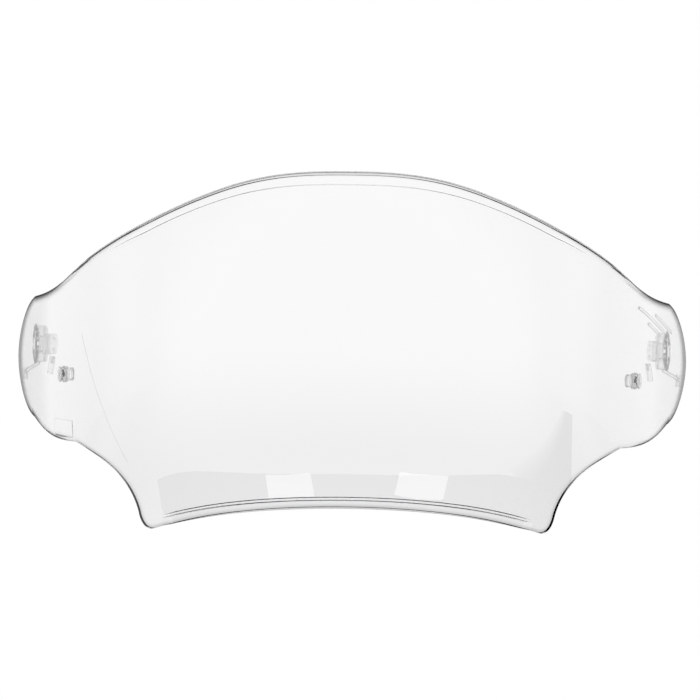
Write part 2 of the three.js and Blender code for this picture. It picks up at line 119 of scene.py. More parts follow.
def circles(radii: Array, steps: int) -> tuple[Array, Array]:
    """Radius times cosine and radius times sine of even angles round circles.

    Args:
        radii: The radius of each circle.
        steps: How many points each circle has.

    Returns:
        Both coordinates, as arrays of circle and point.
    """
    angle = np.linspace(0.0, 2.0 * math.pi, steps, endpoint=False)
    return np.multiply.outer(radii, np.cos(angle)), np.multiply.outer(radii, np.sin(angle))


def axial_rings(x: Array, y: Array, z: Array) -> Array:
    """Stacks rings that lie square to the X axis, one for each place along it."""
    return np.stack([np.broadcast_to(x[:, None], y.shape), y, z], axis=-1)


def nearest(points: Array, targets: Array) -> tuple[Array, Array]:
    """Finds the nearest target of each point, block by block to save memory.

    Args:
        points: One row for each point.
        targets: One row for each target.

    Returns:
        The index of each point's nearest target, and its distance.
    """
    index, gap = np.empty(len(points), dtype=np.intp), np.empty(len(points))
    for part in np.array_split(np.arange(len(points)), SEARCH_BLOCKS):
        squares = ((points[part, None] - targets[None]) ** 2).sum(axis=-1)
        index[part] = squares.argmin(axis=1)
        gap[part] = np.sqrt(squares[np.arange(len(part)), index[part]])
    return index, gap


def mesh_object(name: str, points: Array, faces: list[Array]) -> Piece:
    """Makes a mesh object at the origin from points and blocks of faces.

    Args:
        name: The object's name.
        points: One row of X, Y and Z for each vertex.
        faces: Blocks of index rows, one row for each face, all of one length in a block.

    Returns:
        The new object, linked to the scene.
    """
    mesh = bpy.data.meshes.new(name)
    sizes = np.concatenate([np.full(len(block), block.shape[1]) for block in faces])
    corners = np.concatenate([block.ravel() for block in faces])
    mesh.vertices.add(len(points))
    mesh.vertices.foreach_set("co", points.astype(np.float32).ravel())
    mesh.loops.add(len(corners))
    mesh.loops.foreach_set("vertex_index", corners.astype(np.int32))
    mesh.polygons.add(len(sizes))
    starts = np.concatenate([[0], np.cumsum(sizes)[:-1]])
    mesh.polygons.foreach_set("loop_start", starts.astype(np.int32))
    mesh.update(calc_edges=True)
    made = bpy.data.objects.new(name, mesh)
    bpy.context.scene.collection.objects.link(made)
    return made


def recalculate_outwards(piece: Piece) -> None:
    """Turns the faces of a mesh outwards, after its doubles are merged.

    Args:
        piece: A closed mesh.
    """
    work = bmesh.new()
    work.from_mesh(piece.data)
    bmesh.ops.remove_doubles(work, verts=work.verts, dist=MERGE_DISTANCE)
    bmesh.ops.recalc_face_normals(work, faces=work.faces)
    work.to_mesh(piece.data)
    work.free()


def ring_solid(name: str, rings: Array, poles: Array | None = None) -> Piece:
    """Makes a closed solid from a stack of closed rings and a point that caps each end.

    Args:
        name: The object's name.
        rings: Points as an array of ring, place on the ring, and X, Y and Z.
        poles: The cap point before the first ring and the one after the last. Without
            them they are the middles of these rings.

    Returns:
        The closed object with its faces outwards.
    """
    count, around, _ = rings.shape
    if poles is None:
        poles = np.array([rings[0].mean(axis=0), rings[-1].mean(axis=0)])
    index = np.arange(count * around).reshape(count, around)
    after = np.roll(index, -1, axis=1)
    sides = np.stack([index[:-1], after[:-1], after[1:], index[1:]], axis=-1)
    low = np.stack([np.full(around, index.size), after[0], index[0]], axis=-1)
    high = np.stack([np.full(around, index.size + 1), index[-1], after[-1]], axis=-1)
    points = np.concatenate([rings.reshape(-1, 3), poles])
    made = mesh_object(name, points, [sides.reshape(-1, 4), low, high])
    recalculate_outwards(made)
    return made


def replace_mesh(piece: Piece) -> None:
    """Swaps a piece's mesh for the one that its modifiers make.

    Args:
        piece: A mesh with modifiers, which it loses.
    """
    bpy.context.view_layer.update()
    evaluated = piece.evaluated_get(bpy.context.evaluated_depsgraph_get())
    mesh = bpy.data.meshes.new_from_object(evaluated)
    piece.modifiers.clear()
    old = piece.data
    piece.data = mesh
    mesh.name = old.name
    bpy.data.meshes.remove(old)


def combine(target: Piece, tools: list[Piece], how: Join) -> None:
    """Joins the tools to the target, or cuts them from it, and deletes them.

    Args:
        target: The closed mesh that is kept.
        tools: Closed meshes that are used up.
        how: Whether they are joined or cut.
    """
    for tool in tools:
        modifier = target.modifiers.new("combine", "BOOLEAN")
        modifier.operation = how.value
        modifier.solver = "MANIFOLD"
        modifier.object = tool
        replace_mesh(target)
        bpy.data.objects.remove(tool)


@dataclass(frozen=True)
class NodeGraph:
    """The node tree of a material or a world, with short ways to add to it."""

    owner: bpy.types.Material | bpy.types.World

    def __post_init__(self) -> None:
        """Gives the owner its standard nodes."""
        self.owner.use_nodes = True

    def fill(self, node: str | bpy.types.Node, inputs: Inputs) -> None:
        """Sets or links the inputs of a node.

        Args:
            node: The node, or the name of a standard one.
            inputs: A value or a socket for each input's name or number.
        """
        tree = self.owner.node_tree
        target = tree.nodes[node] if isinstance(node, str) else node
        for place, value in inputs.items():
            if isinstance(value, Socket):
                tree.links.new(value, target.inputs[place])
            else:
                target.inputs[place].default_value = value

    def add(self, kind: str, inputs: Inputs | None = None, **settings: str) -> Outputs:
        """Adds a node.

        Args:
            kind: Its type, without ShaderNode.
            inputs: A value or a socket for each input's name or number.
            settings: The settings that the node has besides its inputs.

        Returns:
            Its outputs, by name or number.
        """
        made = self.owner.node_tree.nodes.new(f"ShaderNode{kind}")
        for name, value in settings.items():
            setattr(made, name, value)
        self.fill(made, inputs or {})
        return made.outputs

    def math(self, operation: str, *values: Socket | float) -> Socket:
        """The result of a Math node."""
        return self.add("Math", dict(enumerate(values)), operation=operation)["Value"]

    def ramp(self, value: Socket, start: float, end: float, low: float = 0.0,
             high: Socket | float = 1.0, curve: str = "SMOOTHSTEP") -> Socket:
        """Goes from low at start to high at end, and is level outside them.

        Args:
            value: What it depends on.
            start: The value up to which the result is low.
            end: The value from which the result is high.
            low: The first result.
            high: The last result.
            curve: How it goes from one to the other.

        Returns:
            The result.
        """
        ends = {"From Min": start, "From Max": end, "To Min": low, "To Max": high}
        return self.add("MapRange", {"Value": value, **ends}, interpolation_type=curve)["Result"]

    def mix(self, share: Socket, first: float, second: Socket | float) -> Socket:
        """Goes from the first number to the second, which are a Mix node's inputs 2 and 3."""
        return self.add("Mix", {"Factor": share, 2: first, 3: second})[0]

    def noise(self, place: Socket, scale: float, detail: float) -> Socket:
        """A cloudy noise of a place, from 0 to 1."""
        return self.add("TexNoise", {"Vector": place, "Scale": scale, "Detail": detail})["Fac"]


@dataclass(frozen=True)
class ClearPlastic:
    """A clear moulded plastic, polished by its mould, with a faint waviness and haze.

    Its clearness is 1 where it is quite clear, and its roughness goes from the first
    value to the second with the haze. With a rim painted shade its colour is darkened
    towards the piece's rim, a painted shade for the light that is caught inside the wall there.
    """

    name: str
    tint: Triple
    ior: float
    roughness: Span
    haze_scale: float
    wave_scale: float
    wave_height: float
    clearness: float = 1.0
    # share of the tint left at the rim, a painted shade; None paints none
    rim_tint: float | None = None
    haze_detail: float = 4.0
    haze_rise: Span = (0.35, 0.75)
    wave_detail: float = 1.0

    def colour(self, graph: NodeGraph) -> Socket | tuple[float, ...]:
        """The tint, or the tint with a painted shade towards the rim, from the rim attribute.

        Args:
            graph: Where the nodes go.

        Returns:
            The base colour, or where it varies the socket of a Mix node, whose inputs
            for colours are 6 and 7.
        """
        plain = (*self.tint, 1.0)
        if self.rim_tint is None:
            return plain
        near = graph.add("Attribute", attribute_name=RIM_SHADE_ATTRIBUTE)["Fac"]
        # painted shade: the tint darkened near the rim
        dark = (*[share * self.rim_tint for share in self.tint], 1.0)
        return graph.add("Mix", {"Factor": near, 6: plain, 7: dark}, data_type="RGBA")[2]

    def dress(self, piece: Piece, sharp_angle: float) -> None:
        """Shades a piece smooth and gives it this finish.

        Its normals are weighted by the faces' areas, so that a flat stays flat beside a
        narrow rounded edge. Noise on Object coordinates gives the roughness a cloudy
        haze, and another gives the surface the mould's waviness.

        Args:
            piece: The finished mesh.
            sharp_angle: The turn above which an edge stays sharp.
        """
        mesh = piece.data
        mesh.polygons.foreach_set("use_smooth", np.ones(len(mesh.polygons), dtype=bool))
        mesh.set_sharp_from_angle(angle=sharp_angle)
        mesh.update()
        weighted = piece.modifiers.new("weighted", "WEIGHTED_NORMAL")
        weighted.keep_sharp = True
        replace_mesh(piece)
        graph = NodeGraph(bpy.data.materials.new(self.name))
        place = graph.add("TexCoord")["Object"]
        haze = graph.noise(place, self.haze_scale, self.haze_detail)
        wave = graph.noise(place, self.wave_scale, self.wave_detail)
        bump = {"Height": wave, "Strength": 1.0, "Distance": self.wave_height}
        graph.fill("Principled BSDF", {
            "Base Color": self.colour(graph),
            "Transmission Weight": self.clearness,
            "IOR": self.ior,
            "Roughness": graph.ramp(haze, *self.haze_rise, *self.roughness, LINEAR),
            "Normal": graph.add("Bump", bump)["Normal"],
        })
        piece.data.materials.clear()
        piece.data.materials.append(graph.owner)


@dataclass(frozen=True)
class FormedWall:
    """The outer face: a round front that straightens smoothly into two arms, and a bulge.

    A place of its pattern is given by s, along the plan curve from the centre line and
    negative on the left, and z, the height. Arrays of places have them in the last axis.
    """

    front_radius: float = 0.1045
    round_to: float = 0.07
    straight_from: float = 0.2
    pivot_place: float = 0.197
    plan_step: float = 0.0001
    plan_length: float = 0.25
    bulge_radius: float = 0.125
    bulge_level: float = -0.005
    bulge_fade: Span = (0.055, 0.155)
    arm_bulge_share: float = 0.12
    thickness: float = 0.0022

    def heading(self, distance: Array) -> Array:
        """How far the plan curve has turned at a distance from the centre line.

        Its curvature is even up to round_to and falls as a cubic with level ends to none
        at straight_from. So the turn is the distance, up to round_to, and t - t^3 +
        t^4 / 2 of the length of the fall, of which t is the share passed, both divided
        by the front's radius.

        Args:
            distance: Distances along the plan curve.

        Returns:
            The turns in radians.
        """
        length = self.straight_from - self.round_to
        t = np.clip((distance - self.round_to) / length, 0.0, 1.0)
        turned = np.minimum(distance, self.round_to) + length * (t - t**3 + t**4 / 2.0)
        return turned / self.front_radius

    @cached_property
    def plan(self) -> tuple[Array, Array, Array]:
        """The right half of the plan curve in short steps, with the pivot at Y = 0.

        Returns:
            s, X and Y of every step, X and Y being sums of the heading's cosine and sine.
        """
        s = np.arange(0.0, self.plan_length, self.plan_step)
        turn = self.heading((s[:-1] + s[1:]) / 2.0)
        x = np.concatenate([[0.0], np.cumsum(np.cos(turn)) * self.plan_step])
        y = np.concatenate([[0.0], np.cumsum(np.sin(turn)) * self.plan_step])
        return s, x, y - np.interp(self.pivot_place, s, y)

    def plan_point(self, distance: Array) -> tuple[Array, Array]:
        """X and Y of places on the right half of the plan curve."""
        s, x, y = self.plan
        return np.interp(distance, s, x), np.interp(distance, s, y)

    def face(self, places: Array) -> tuple[Array, Array]:
        """Forms places of the pattern into the outer face.

        The bulge draws a place in by the sagitta of an arc at its height, times a share
        that falls from 1 at the front to arm_bulge_share on the arms.

        Args:
            places: s and z of each place.

        Returns:
            The points and the unit vectors out of the face there.
        """
        side = np.where(places[..., 0] < 0.0, -1.0, 1.0)
        distance, z = np.abs(places[..., 0]), places[..., 1]
        turn = self.heading(distance)
        x, y = self.plan_point(distance)
        fall = smooth_step(distance, *self.bulge_fade)
        share = 1.0 - (1.0 - self.arm_bulge_share) * fall
        above = z - self.bulge_level
        run = np.sqrt(self.bulge_radius**2 - above**2)
        flat = np.stack([side * np.sin(turn), -np.cos(turn), np.zeros_like(z)], axis=-1)
        point = np.stack([side * x, y, z], axis=-1)
        point = point - flat * ((self.bulge_radius - run) * share)[..., None]
        normal = flat.copy()
        normal[..., 2] = above / run * share
        return point, unit(normal)

    def below(self, places: Array, depth: Array | float) -> Array:
        """Points at a depth below the outer face, square to it."""
        point, normal = self.face(places)
        return point - normal * np.asarray(depth, float)[..., None]


@dataclass(frozen=True)
class Outline:
    """The developed pattern's outline, right half: s from the centre line, z the height."""

    crown_height: float = 0.0625
    arm_top_height: float = 0.0182
    arm_top_end: float = 0.2025
    arm_top_rise: float = 0.0065
    shoulder: float = 0.1084
    shoulder_power: float = 2.7
    chin_centre_height: float = -0.0535
    chin_half_width: float = 0.0916
    chin_drop: float = 0.0116
    chin_corner_radius: float = 0.0061
    cutout_end: float = 0.1303
    cutout_end_height: float = -0.0346
    cutout_lean: float = -0.0019
    cutout_dip: float = 0.0057
    arm_belly: float = 0.1715
    arm_belly_height: float = -0.0358
    arm_end: float = 0.2027
    arm_end_height: float = -0.0283
    rear_bow: float = 0.0339
    rear_bow_power: float = 0.58
    rear_split: float = 0.2
    rear_reach_power: float = 4.0
    chin_steps: int = 62
    corner_steps: int = 12
    cutout_steps: int = 48
    arm_steps: int = 50
    rear_steps: int = 36
    top_steps: int = 1201

    @property
    def centre_column(self) -> float:
        """The pattern's height on the centre line."""
        return self.crown_height - self.chin_centre_height

    def top_height(self, s: Array) -> Array:
        """Height of the upper edge: a slight rise along the arms, then up to the crown.

        The sweep falls off as the exponential of a power of the distance.

        Args:
            s: Distances from the centre line.

        Returns:
            The heights.
        """
        arm = self.arm_top_height + self.arm_top_rise * (1.0 - np.abs(s) / self.arm_top_end)
        sweep = np.exp(-((np.abs(s) / self.shoulder) ** self.shoulder_power))
        return arm + (self.crown_height - arm) * sweep

    def lower_edge(self) -> Array:
        """The lower edge from the centre to the arm's end.

        Returns:
            Points of four joined quadratic curves: the chin's arch, its rounded corner,
            the hollow cut-out and the arm's underside.
        """
        arch_end = self.chin_half_width - self.chin_corner_radius
        drop = self.chin_drop * (arch_end / self.chin_half_width) ** 2
        slope = -drop / (arch_end / 2.0)
        arch_height = self.chin_centre_height - drop
        corner_height = arch_height + slope * self.chin_corner_radius
        stations = np.array([
            (0.0, self.chin_centre_height),
            (arch_end / 2.0, self.chin_centre_height),
            (arch_end, arch_height),
            (self.chin_half_width, corner_height),
            (self.chin_half_width, corner_height + self.chin_corner_radius),
            (self.chin_half_width + self.cutout_lean, self.cutout_end_height - self.cutout_dip),
            (self.cutout_end, self.cutout_end_height),
            (self.arm_belly, self.arm_belly_height),
            (self.arm_end, self.arm_end_height),
        ])
        steps = [self.chin_steps, self.corner_steps, self.cutout_steps, self.arm_steps]
        pieces = [stations[:1]]
        for number, count in enumerate(steps):
            start, bend, end = stations[2 * number : 2 * number + 3]
            t = np.linspace(0.0, 1.0, count + 1)[1:, None]
            pieces.append((1 - t) ** 2 * start + 2 * t * (1 - t) * bend + t**2 * end)
        return np.concatenate(pieces)

    def rear_edge(self, share: Array) -> Array:
        """Places on the arm's rear edge, which bows rearwards with a power of a sine.

        Args:
            share: Shares of its height, from 0 at the underside to 1 at the top.

        Returns:
            s and z of the places.
        """
        low = np.array([self.arm_end, self.arm_end_height])
        high = np.array([self.arm_top_end, self.top_height(np.array(self.arm_top_end))])
        line = low + np.multiply.outer(share, high - low)
        line[..., 0] += self.rear_bow * np.sin(math.pi * share).clip(0.0) ** self.rear_bow_power
        return line

    def grid(self, rows: Array) -> tuple[Array, Array]:
        """Fills the outline with columns of places.

        A column joins a point of the lower edge to one of the upper edge, paired by the
        mean of their shares of the span and of the edge's length. Both edges run on
        round the slanting ends of the rear edge, up to rear_split of its height, and the
        columns bow with what is left of it.

        Args:
            rows: Shares of a column's height, from 0 to 1.

        Returns:
            The places and their row shares, as arrays of column and row.
        """
        even = np.linspace(0.0, 1.0, self.rear_steps + 1)[1:]
        turn = self.rear_split * even ** (1.0 / self.rear_bow_power)
        low = np.concatenate([self.lower_edge(), self.rear_edge(turn)])
        steps = np.linalg.norm(np.diff(low, axis=0), axis=1)
        length = np.concatenate([[0.0], np.cumsum(steps)])
        share = (low[:, 0] / low[-1, 0] + length / length[-1]) / 2.0
        top_s = np.linspace(0.0, self.arm_top_end, self.top_steps)
        top = np.stack([top_s, self.top_height(top_s)], axis=-1)
        top = np.concatenate([top, self.rear_edge(1.0 - turn)])
        high_s = top[-1, 0] * share
        high = np.stack([high_s, np.interp(high_s, top[:, 0], top[:, 1])], axis=-1)
        row = rows[None, :, None]
        places = low[:, None] * (1.0 - row) + high[:, None] * row
        rear = self.rear_edge(self.rear_split + (1.0 - 2.0 * self.rear_split) * rows)
        places += (share**self.rear_reach_power)[:, None, None] * (rear - places[-1])
        places = np.concatenate([places[:0:-1] * (-1.0, 1.0), places])
        return places, np.broadcast_to(rows, places.shape[:2])


@dataclass(frozen=True)
class PinSeat:
    """Where a lens pin stands on the wall: a point of the outer face and three axes."""

    origin: Array
    rear: Array
    out: Array
    up: Array

    @classmethod
    def on(cls, wall: FormedWall, side: Side, place: float, level: float) -> "PinSeat":
        """Finds the seat at a place of the pattern on one arm."""
        origin, out = wall.face(np.array([side.value * place, level]))
        rear = unit(-side.value * np.cross(out, (0.0, 0.0, 1.0)))
        return cls(origin, rear, out, -side.value * np.cross(rear, out))

    def rings(self, radii: Array, depths: Array, offsets: Array, steps: int) -> Array:
        """Circles square to the wall.

        Args:
            radii: The radius of each ring.
            depths: How far each lies below the outer face.
            offsets: How far rearwards each one's centre stands off the seat's axis.
            steps: How many points a ring has.

        Returns:
            Points as an array of ring, place on the ring, and X, Y and Z.
        """
        back, rise = circles(radii, steps)
        along = (offsets[:, None] + back)[..., None] * self.rear + rise[..., None] * self.up
        return self.origin + along - depths[:, None, None] * self.out


@dataclass
class VisorMoulding:
    """The one-piece clear moulding: wall, lip, ledge, bosses, keys, ribs and tabs."""

    finish: ClearPlastic
    wall: FormedWall = field(default_factory=FormedWall)
    outline: Outline = field(default_factory=Outline)
    lip_height: float = 0.0038
    lip_pitch: float = 0.00085
    lip_first_share: float = 0.5
    lip_fillet: float = 0.00014
    lip_reach: float = 0.001
    lip_fade: Span = (0.074, 0.082)
    bead_depth: float = 0.0013
    bead_ramp: float = 0.00018
    bead_reach: float = 0.0003
    bead_fade: Span = (0.12, 0.16)
    ledge_depth: float = 0.0046
    ledge_step: float = 0.00045
    ledge_ramp: float = 0.0005
    ledge_groove: float = 0.00017
    ledge_groove_width: float = 0.00018
    ledge_fade: Span = (0.08, 0.112)
    inturn_width: float = 0.0032
    inturn_drop: float = 0.0012
    inturn_rise: Span = (0.112, 0.15)
    crease_place: float = 0.1195
    crease_lean: float = 0.652
    crease_run: Span = (-0.0405, 0.0045)
    crease_section: Section = (0.0003, 0.00005)
    # painted shade along the rim: its widths at the front and on the ears, the front's share, the
    # ears' start and lean, and the weight of Y
    rim_tone_front: Span = (0.0006, 0.0014)
    rim_tone_share: float = 0.315
    rim_tone_ear: Span = (0.0013, 0.0035)
    rim_tone_ear_rise: Span = (0.104, 0.115)
    rim_tone_ear_lean: float = 0.25
    rim_tone_depth_share: float = 0.2
    edge_radius: float = 0.00028
    edge_steps: int = 5
    inset_reach: float = 0.0009
    row_counts: tuple[int, ...] = (5, 7, 4, 7, 53, 5, 5, 6, 5, 4)
    root_sink: float = 0.0011
    boss_radius: float = 0.007
    boss_reach: float = 0.004
    boss_edge: float = 0.0008
    boss_fillet: float = 0.0006
    key_length: float = 0.018
    key_height: float = 0.008
    key_thickness: float = 0.0022
    key_edge: float = 0.0003
    socket_radius: float = 0.0026
    socket_depth: float = 0.0046
    guide_ahead: float = 0.03
    guide_level: float = -0.0077
    guide_length: float = 0.0073
    guide_lean: float = math.radians(33.0)
    guide_section: Section = (0.0015, 0.0018)
    stop_back: float = 0.028
    stop_level: float = -0.0118
    stop_height: float = 0.0049
    stop_section: Section = (0.0016, 0.002)
    brace_ahead: float = 0.008
    brace_drop: float = 0.0072
    brace_section: Section = (0.0012, 0.0006)
    grip_rib_spans: tuple[Span, ...] = ((0.33, 0.82), (0.0, 1.0), (0.64, 1.36))
    grip_rib_pitch: float = 0.0029
    grip_rib_length: float = 0.043
    grip_rib_section: Section = (0.0011, 0.0005)
    grip_rib_start: float = 0.148
    grip_rib_level: float = 0.0164
    grip_rib_tilt: float = math.radians(12.0)
    pad_length: float = 0.0236
    pad_section: Section = (0.0058, 0.0002)
    pad_place: float = 0.1448
    pad_level: float = -0.03
    pin_place: float = 0.144
    pin_level: float = -0.0104
    pin_hole_radius: float = 0.0024
    overrun: float = 0.001
    overlap: float = 0.00002
    round_steps: int = 96
    boss_edge_steps: int = 6
    rib_steps: int = 24
    corner_steps: int = 4
    rib_corner_share: float = 0.4
    sharp_angle: float = math.radians(32.0)

    def rows(self) -> Array:
        """Row shares, closer together where the lip and the ledge change the wall.

        Returns:
            Shares of the column, with row_counts of them in the stretches between the
            chin, both fillets of the lip, the ledge, its groove, the bead and the brow.
        """
        lower, upper, fillet = self.lip_height - self.lip_pitch, self.lip_height, self.lip_fillet
        top = self.outline.centre_column
        ledge, bead = top - self.ledge_depth, top - self.bead_depth
        stops = [0.0, lower - fillet, lower + fillet, upper - fillet, upper + fillet]
        stops += [ledge - self.ledge_ramp, ledge, ledge + self.ledge_groove_width]
        stops += [bead - self.bead_ramp, bead, top]
        stretches = zip(stops, stops[1:], self.row_counts)
        return np.unique(np.concatenate([np.linspace(*stretch) for stretch in stretches])) / top

    def relief(self, distance: Array, row: Array) -> Array:
        """How far the outer face stands proud.

        The chin lip rises in two steps. The brow band is a step back that is deepest at
        its foot, and its rim carries a fine bead. Each change is a smooth_step of the
        height, times one that fades it out along the visor.

        Args:
            distance: Distances from the centre line along the plan curve.
            row: Row shares.

        Returns:
            Heights above the plain outer face, negative on the brow band.
        """
        top = self.outline.centre_column
        height = row * top
        lower, upper, fillet = self.lip_height - self.lip_pitch, self.lip_height, self.lip_fillet
        first = self.lip_first_share
        on_lip = first * fade_out(height, upper - fillet, upper + fillet)
        on_lip += (1.0 - first) * fade_out(height, lower - fillet, lower + fillet)
        ledge, bead = top - self.ledge_depth, top - self.bead_depth
        on_band = smooth_step(height, ledge - self.ledge_ramp, ledge)
        on_foot = on_band - smooth_step(height, ledge, ledge + self.ledge_groove_width)
        on_bead = smooth_step(height, bead - self.bead_ramp, bead)
        back = self.ledge_step * on_band + self.ledge_groove * on_foot
        back *= fade_out(distance, *self.ledge_fade)
        lip = self.lip_reach * fade_out(distance, *self.lip_fade)
        brow = self.bead_reach * fade_out(distance, *self.bead_fade)
        return lip * on_lip - back + brow * on_bead

    def inturn(self, distance: Array, gap: Array) -> Array:
        """How far places near the rim of an arm turn in: a parabola of their distance."""
        drop = self.inturn_drop * (1.0 - np.minimum(gap / self.inturn_width, 1.0)) ** 2
        return drop * smooth_step(distance, *self.inturn_rise)

    def wall_piece(self) -> tuple[Piece, Array]:
        """Makes the wall: an outer grid, an inner grid and a rounded strip round the rim.

        The rim's section is a quarter turn at the outer face, a flat and a quarter turn
        at the inner face. Each of its rings lies at an inset from the outline and a
        depth, and the places near it are pushed inwards to make room for them. A place's
        distance to the rim is measured square to it at the nearest of its points.

        Returns:
            The closed wall, and points along the middle of its rim.
        """
        places, row = self.outline.grid(self.rows())
        size, across = row.size, row.shape[1]
        index = np.arange(size).reshape(row.shape)
        loop = np.concatenate([index[:, 0], index[-1, 1:], index[-2::-1, -1], index[0, -2:0:-1]])
        flat = places.reshape(-1, 2)
        rim = flat[loop]
        inwards = leftwards(unit(np.roll(rim, -1, axis=0) - np.roll(rim, 1, axis=0)))
        close, _ = nearest(flat, rim)
        towards = inwards[close]
        gap = ((flat - rim[close]) * towards).sum(axis=-1).clip(0.0)
        gap[loop], towards[loop] = 0.0, inwards
        distance = np.abs(places[..., 0])
        drop = self.inturn(distance, gap.reshape(row.shape))
        outer_depth = drop - self.relief(distance, row)
        inner_depth = drop + self.wall.thickness
        push = self.edge_radius * (1.0 - gap / self.inset_reach).clip(0.0)
        places = (flat + towards * push[:, None]).reshape(places.shape)
        sine, cosine = quarter_arc(self.edge_steps)
        away = self.edge_radius * (1.0 - sine[1:, None, None])
        sunk = self.edge_radius * (1.0 - cosine[1:, None])
        ring = rim[None] + inwards[None] * away
        outer_ring = self.wall.below(ring, outer_depth.ravel()[loop] + sunk)
        inner_ring = self.wall.below(ring, inner_depth.ravel()[loop] - sunk)
        rings = np.concatenate([outer_ring, inner_ring[::-1]])
        sheets = [self.wall.below(places, depth) for depth in (outer_depth, inner_depth)]
        points = np.concatenate([block.reshape(-1, 3) for block in (*sheets, rings)])
        corner = index[:-1, :-1].ravel()
        quad = np.stack([corner, corner + across, corner + across + 1, corner + 1], axis=-1)
        ring_index = np.arange(len(rings) * len(loop)).reshape(-1, len(loop)) + 2 * size
        stack = np.concatenate([loop[None], ring_index, loop[None] + size])
        after = np.roll(stack, -1, axis=1)
        strip = np.stack([stack[:-1], stack[1:], after[1:], after[:-1]], axis=-1).reshape(-1, 4)
        made = mesh_object("visor_shell_clear", points, [quad, quad[:, ::-1] + size, strip])
        return made, rings.mean(axis=0)

    def mark_rim(self, piece: Piece, rim: Array) -> None:
        """Stores the rim's painted shade: how near each vertex is to the rim, from 1 on an arm's
        rim to 0 on the face. The plastic's colour is darkened by it, a painted shade standing in
        for light caught inside the wall.

        Distances along Y count for less, so that the painted shade is wider where an arm's rim is
        seen at a slant. The front's rim has a share of it, and it falls between other
        distances there. Both change smoothly with X and a lean of Z.

        Args:
            piece: The finished moulding.
            rim: Points along the middle of the rim.
        """
        mesh = piece.data
        points = np.empty(len(mesh.vertices) * 3, dtype=np.float32)
        mesh.vertices.foreach_get("co", points)
        points = points.reshape(-1, 3)
        scale = np.array([1.0, self.rim_tone_depth_share, 1.0], dtype=np.float32)
        _, gap = nearest(points * scale, rim.astype(np.float32) * scale)
        rearwards = np.abs(points[:, 0]) + self.rim_tone_ear_lean * points[:, 2]
        on_ear = smooth_step(rearwards, *self.rim_tone_ear_rise)
        ends = zip(self.rim_tone_front, self.rim_tone_ear)
        painted_shade = fade_out(gap, *(front + (ear - front) * on_ear for front, ear in ends))
        painted_shade *= self.rim_tone_share + (1.0 - self.rim_tone_share) * on_ear
        stored = mesh.attributes.new(RIM_SHADE_ATTRIBUTE, "FLOAT", "POINT")
        stored.data.foreach_set("value", painted_shade.astype(np.float32))

    def rib(self, side: Side, line: Array, section: Section) -> Piece:
        """Makes a rib on the inner face, along a line of the pattern.

        Its section is carried along the line: a flat root sunk into the wall, upright
        sides and a tip with rounded corners.

        Args:
            side: The arm that carries it.
            line: Places along it, with s measured from the centre line.
            section: How thick it is, and how far it stands proud of the inner face.

        Returns:
            The closed rib.
        """
        (width, reach), thickness, mirror = section, self.wall.thickness, (side.value, 1.0)
        corner = min(section) * self.rib_corner_share
        sine, cosine = quarter_arc(self.corner_steps)
        half_across = width / 2.0 - corner * (1.0 - cosine)
        half_depth = thickness + reach - corner * (1.0 - sine)
        across = np.concatenate([[width / 2.0], half_across, -half_across[::-1], [-width / 2.0]])
        root = thickness - self.root_sink
        depth = np.concatenate([[root], half_depth, half_depth[::-1], [root]])
        sideways = leftwards(unit(np.gradient(line, axis=0)))
        places = line[:, None, :] + sideways[:, None, :] * across[None, :, None]
        poles = self.wall.below(line[[0, -1]] * mirror, thickness)
        return ring_solid("rib", self.wall.below(places * mirror, depth[None, :]), poles)

    def straight_line(self, s: float, z: float, length: float, slope: float) -> Array:
        """Places evenly along a straight line of the pattern, from its middle and slope."""
        along = np.linspace(-length / 2.0, length / 2.0, self.rib_steps + 1)
        return np.stack([s + along * math.cos(slope), z + along * math.sin(slope)], axis=-1)

    def end_places(self) -> tuple[float, float]:
        """Finds how far inwards the boss and the key reach.

        Returns:
            The distances from the centre line of the boss's end and the key's end.
        """
        pivot, wall = self.wall.pivot_place, self.wall
        inside = wall.plan_point(pivot)[0] - wall.thickness / math.sin(wall.heading(pivot))
        boss_end = inside - self.boss_reach
        return boss_end, boss_end - self.key_thickness

    def boss(self, side: Side) -> Piece:
        """Makes the round boss: a filleted root on the splayed wall and a square end.

        The root's rings lie in planes parallel to the wall, and those of the end in
        planes square to the pivot axis.

        Args:
            side: The arm that carries it.

        Returns:
            The closed boss.
        """
        pivot = np.array([side.value * self.wall.pivot_place, 0.0])
        base = self.wall.below(pivot, self.wall.thickness)
        _, normal = self.wall.face(pivot)
        sine, cosine = quarter_arc(self.boss_edge_steps)
        lift = np.concatenate([[-self.root_sink], self.boss_fillet * (1.0 - cosine)])
        radius = self.boss_radius + self.boss_fillet * (1.0 - sine)
        y, z = circles(np.concatenate([radius[:1], radius]), self.round_steps)
        slant = normal[1] * (y - base[1]) + normal[2] * (z - base[2]) + lift[:, None]
        root = np.stack([base[0] - slant / normal[0], y, z], axis=-1)
        x = side.value * (self.end_places()[0] + self.boss_edge * (1.0 - sine))
        radius = self.boss_radius - self.boss_edge * (1.0 - cosine)
        end = axial_rings(x, *circles(radius, self.round_steps))
        return ring_solid("boss", np.concatenate([root, end]))

    def key(self, side: Side) -> Piece:
        """Makes the bayonet key: an oblong plate with rounded edges across the boss's end.

        Its rings are circles whose halves are drawn apart.

        Args:
            side: The arm that carries it.

        Returns:
            The closed key.
        """
        boss_end, key_end = self.end_places()
        sine, cosine = quarter_arc(self.corner_steps)
        away, sunk = self.key_edge * (1.0 - cosine), self.key_edge * (1.0 - sine)
        radius = self.key_height / 2.0
        y, z = circles(radius - np.concatenate([away[::-1], away]), self.round_steps)
        y += np.sign(y) * (self.key_length / 2.0 - radius)
        x = np.concatenate([boss_end + self.overlap - sunk[::-1], key_end + sunk])
        return ring_solid("key", axial_rings(side.value * x, y, z))

